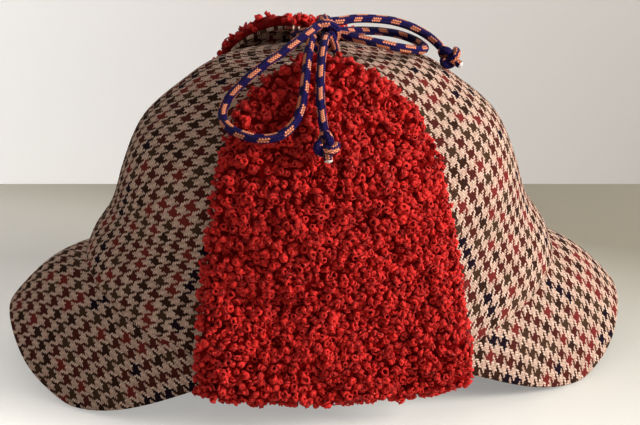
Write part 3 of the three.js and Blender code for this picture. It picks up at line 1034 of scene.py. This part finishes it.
def curly_wool(name, deep, bright, fuzz, curls):
    """Dyed wool in patches. Curls have a tone each, painted shade towards the base and some gloss."""
    material, tree, shader = new_material(name, bright, 0.5)
    place = object_place(tree)
    patches = grain(tree, place, 300, 2.0)
    if curls:
        share = calc(tree, "MULTIPLY", patches, 0.3)
        # Painted shade: each curl is darker towards its base and brighter at its tip; the tone is each
        # curl's own.
        for layer, weight in (("tone", 0.45), ("tip", 0.4)):
            value = tree.nodes.new("ShaderNodeAttribute")
            value.attribute_name = layer
            share = calc(tree, "MULTIPLY_ADD", value.outputs["Fac"], weight, share)
    else:
        share = calc(tree, "MULTIPLY", patches, 0.6)
    fibres = place_group(tree, fuzz, Place=place, Fibre=2600.0, Amount=0.9)
    share = calc(tree, "MULTIPLY", share, fibres["Tone"])
    colour = blend_colour(tree, share, (*deep, 1), (*bright, 1))
    tree.links.new(colour, shader.inputs["Base Color"])
    raise_relief(tree, shader, fibres["Height"], 0.35 * MM)
    shader.inputs["Specular IOR Level"].default_value = 0.4 if curls else 0.05
    gloss = grain(tree, place, 1700, 1.0)
    tree.links.new(spread(tree, gloss, 0.51, 0.62, 0.95, 0.22), shader.inputs["Roughness"])
    shader.inputs["Specular Tint"].default_value = (1.0, 0.7, 0.68, 1)
    return material


def braid_group():
    """A round braid in twelve columns of slanting picks: two columns in three have runs of flecks.

    Along holds the length in metres and the share round the cord.
    """
    tree, given, result = new_group(
        "round braid", {"Along": "Vector"}, {"Fleck": "Float", "Height": "Float"},
    )
    split = tree.nodes.new("ShaderNodeSeparateXYZ")
    tree.links.new(given["Along"], split.inputs[0])
    teeth = calc(tree, "SINE", calc(tree, "MULTIPLY", split.outputs[0], 2 * pi / PICK))
    round_it = calc(tree, "MULTIPLY_ADD", teeth, 0.24, calc(tree, "MULTIPLY", split.outputs[1], 12.0))
    column, in_column = calc(tree, "FLOOR", round_it), calc(tree, "FRACT", round_it)
    odd = calc(tree, "FLOORED_MODULO", column, 2.0)
    one_way = calc(tree, "MULTIPLY", odd, calc(tree, "SUBTRACT", 1.0, in_column))
    other_way = calc(tree, "MULTIPLY", calc(tree, "SUBTRACT", 1.0, odd), in_column)
    slant = calc(tree, "ADD", one_way, other_way)
    staggered = calc(tree, "MULTIPLY_ADD", odd, 0.5, calc(tree, "DIVIDE", split.outputs[0], PICK))
    picks = calc(tree, "MULTIPLY_ADD", slant, 0.45, staggered)
    pick, in_pick = calc(tree, "FLOOR", picks), calc(tree, "FRACT", picks)
    group_of_three = calc(tree, "FLOOR", calc(tree, "DIVIDE", column, 3.0))
    in_group = calc(tree, "FLOORED_MODULO", column, 3.0)
    shows = calc(tree, "LESS_THAN", in_group, 2.0)
    phase = calc(tree, "FLOORED_MODULO", calc(tree, "MULTIPLY_ADD", group_of_three, 2.25, pick), 9.0)
    run = calc(tree, "LESS_THAN", phase, 4.4)
    tree.links.new(calc(tree, "MULTIPLY", shows, run), result["Fleck"])
    ridge = calc(tree, "SINE", calc(tree, "MULTIPLY", in_pick, pi))
    rib = calc(tree, "SINE", calc(tree, "MULTIPLY", in_column, pi))
    tree.links.new(calc(tree, "MULTIPLY", ridge, calc(tree, "POWER", rib, 0.6)), result["Height"])
    return tree


def braided_cord(braid, fuzz):
    material, tree, shader = new_material("navy and coral braid", (0.02, 0.018, 0.09), 0.55)
    weave = place_group(tree, braid, Along=surface_uv(tree))
    fibres = place_group(tree, fuzz, Place=object_place(tree), Fibre=4000.0, Amount=0.4)
    colour = blend_colour(tree, weave["Fleck"], (0.014, 0.005, 0.1, 1), (1.0, 0.33, 0.18, 1))
    # Painted shade and light: the braid is darker in its grooves and lighter on its ridges; the fibres'
    # tone varies it.
    shade = spread(tree, weave["Height"], 0.1, 0.8, 0.22, 1.15)
    groove_shade_and_fibres = calc(tree, "MULTIPLY", shade, fibres["Tone"])
    tree.links.new(dimmed(tree, colour, groove_shade_and_fibres), shader.inputs["Base Color"])
    raise_relief(tree, shader, weave["Height"], 0.5 * MM)
    shader.inputs["Specular IOR Level"].default_value = 0.12
    return material


def sealed_plastic():
    material, tree, shader = new_material("heat-sealed cord tip", (0.7, 0.66, 0.62), 0.35)
    height = grain(tree, object_place(tree), 900)
    raise_relief(tree, shader, height, 0.2 * MM)
    return material


# -------------------------------- stage

def plain_surface(name, way, bright, shaded, glow):
    """A plain pale surface with painted shade along one way, and painted light: a glow for the camera.
    """
    material, tree, shader = new_material(name, bright, 0.55)
    shader.inputs["Specular IOR Level"].default_value = 0.2
    along = tree.nodes.new("ShaderNodeVectorMath")
    along.operation = "DOT_PRODUCT"
    tree.links.new(object_place(tree), along.inputs[0])
    along.inputs[1].default_value = way
    # Painted shade: the colour darkens along the way.
    share = spread(tree, along.outputs["Value"], -0.32, 0.32, 0.0, 1.0)
    tree.links.new(blend_colour(tree, share, (*bright, 1), (*shaded, 1)), shader.inputs["Base Color"])
    # Painted light: a glow that only the camera sees, strongest at the pale end, though the surface is
    # no lamp.
    shader.inputs["Emission Color"].default_value = (1, 0.985, 0.96, 1)
    seen = tree.nodes.new("ShaderNodeLightPath").outputs["Is Camera Ray"]
    glows = calc(tree, "MULTIPLY", seen, spread(tree, share, 0.0, 1.0, glow, 0.0))
    tree.links.new(glows, shader.inputs["Emission Strength"])
    return material, tree, shader


def wall_surface():
    """The wall can't be seen from behind, and lets light through."""
    # Painted shade towards the right, and painted light glowing towards the left.
    material, tree, shader = plain_surface(
        "pale wall", way=(1, 0, 0), bright=(0.86, 0.85, 0.84), shaded=(0.56, 0.54, 0.52), glow=0.46,
    )
    back = tree.nodes.new("ShaderNodeNewGeometry").outputs["Backfacing"]
    shadow = tree.nodes.new("ShaderNodeLightPath").outputs["Is Shadow Ray"]
    clear = tree.nodes.new("ShaderNodeBsdfTransparent")
    choose = tree.nodes.new("ShaderNodeMixShader")
    tree.links.new(calc(tree, "MAXIMUM", back, shadow), choose.inputs[0])
    tree.links.new(shader.outputs[0], choose.inputs[1])
    tree.links.new(clear.outputs[0], choose.inputs[2])
    tree.links.new(choose.outputs[0], tree.nodes["Material Output"].inputs["Surface"])
    return material


def stage_sheet(name, material, matrix):
    bm = bmesh.new()
    bmesh.ops.create_grid(bm, x_segments=1, y_segments=1, size=STAGE_SIZE / 2, matrix=matrix)
    sheet = new_object(name, bm, material)


def soft_light(name, place, size, power, colour):
    lamp = bpy.data.lights.new(name, "AREA")
    lamp.size = size
    lamp.energy = power
    lamp.color = colour
    light = bpy.data.objects.new(name, lamp)
    light.location = place
    light.rotation_euler = (light.location - LIGHTS_AIM).to_track_quat("Z", "Y").to_euler()
    bpy.context.scene.collection.objects.link(light)


def set_stage():
    # The table: painted shade towards the back right, and painted light glowing towards the front left.
    table, _, _ = plain_surface(
        "pale table", way=(0.9, 1.6, 0), bright=(0.92, 0.9, 0.84), shaded=(0.34, 0.31, 0.24), glow=0.5,
    )
    stage_sheet("table", table, Matrix.Identity(4))
    turn = Matrix.Rotation(CAMERA_AZIMUTH, 4, "Z")
    wall_place = turn @ Matrix.Translation((0, WALL_DISTANCE, 2)) @ Matrix.Rotation(pi / 2, 4, "X")
    stage_sheet("wall", wall_surface(), wall_place)
    soft_light("window", (2.3, -0.85, 1.05), size=0.9, power=97, colour=(1.0, 0.985, 0.965))
    soft_light("ceiling", (0.1, -0.6, 1.9), size=1.5, power=3, colour=(1.0, 0.99, 0.98))
    world = bpy.data.worlds.new("room")
    world.use_nodes = True
    tree = world.node_tree
    background = tree.nodes["Background"]
    background.inputs["Color"].default_value = (1, 0.985, 0.96, 1)
    seen = tree.nodes.new("ShaderNodeLightPath").outputs["Is Camera Ray"]
    tree.links.new(spread(tree, seen, 0.0, 1.0, 0.19, 0.75), background.inputs["Strength"])
    bpy.context.scene.world = world
    bpy.context.scene.view_settings.view_transform = "Standard"


# -------------------------------- the hat

def make_ear_flap(side, tweed, shaded_mat_wool, curl_wool):
    """A folded-up flap: its backing, a mat, and tight curls and open ringlets on it."""
    which = "near" if side < 0 else "far"
    backing, flat, area = make_flap_cloth(f"{which}_flap", side, tweed)
    mat = make_pile_mat(f"{which}_pile_mat", side, shaded_mat_wool)
    curls = make_pile_curls(
        f"{which}_pile_curls", side, curl_wool, tight_curl, gap=3.05 * MM,
        sunk=(0.9 * MM, 2.2 * MM), leaning=0.45, crumpled=0.5 * MM, seed=17,
    )
    ringlets = make_pile_curls(
        f"{which}_pile_ringlets", side, curl_wool, open_ringlet, gap=3 * MM,
        sunk=(-0.5 * MM, 1.1 * MM), leaning=0.8, crumpled=0.7 * MM, seed=41,
    )
    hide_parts(f"{which}_flap_pile")


aim_camera()

fuzz = wool_fuzz_group()
cord = braided_cord(braid_group(), fuzz)
tip = sealed_plastic()
wraps = bow_wraps(cord)
near_knot = end_knot("near", Vector((0.1, -0.45, -0.9)), cord, tip)
far_knot = end_knot("far", Vector((0.7, -0.45, -0.5)), cord, tip)
make_cord("near_tie", NEAR_TIE_ROUTE, cord)
make_cord("far_tie", FAR_TIE_ROUTE, cord)

tweed = tweed_cloth("houndstooth tweed", houndstooth_group(), fuzz, (0.79, 0.55, 0.43))
make_crown(tweed)
make_peak("front_peak", -1, FRONT_REACH, FRONT_TIP_HEIGHT, FRONT_BULGE, tweed)
make_peak("back_peak", 1, BACK_REACH, BACK_TIP_HEIGHT, BACK_BULGE, tweed)

# The mat is painted darker than the curls, as shade in the clefts between them.
shaded_mat_wool = curly_wool("fleece clefts", (0.07, 0.0005, 0.0005), (0.42, 0.005, 0.004), fuzz, False)
curl_wool = curly_wool("fleece ringlets", (0.14, 0.001, 0.001), (0.82, 0.026, 0.02), fuzz, True)
for side in (-1, 1):
    make_ear_flap(side, tweed, shaded_mat_wool, curl_wool)

set_stage()

bpy.context.view_layer.update()
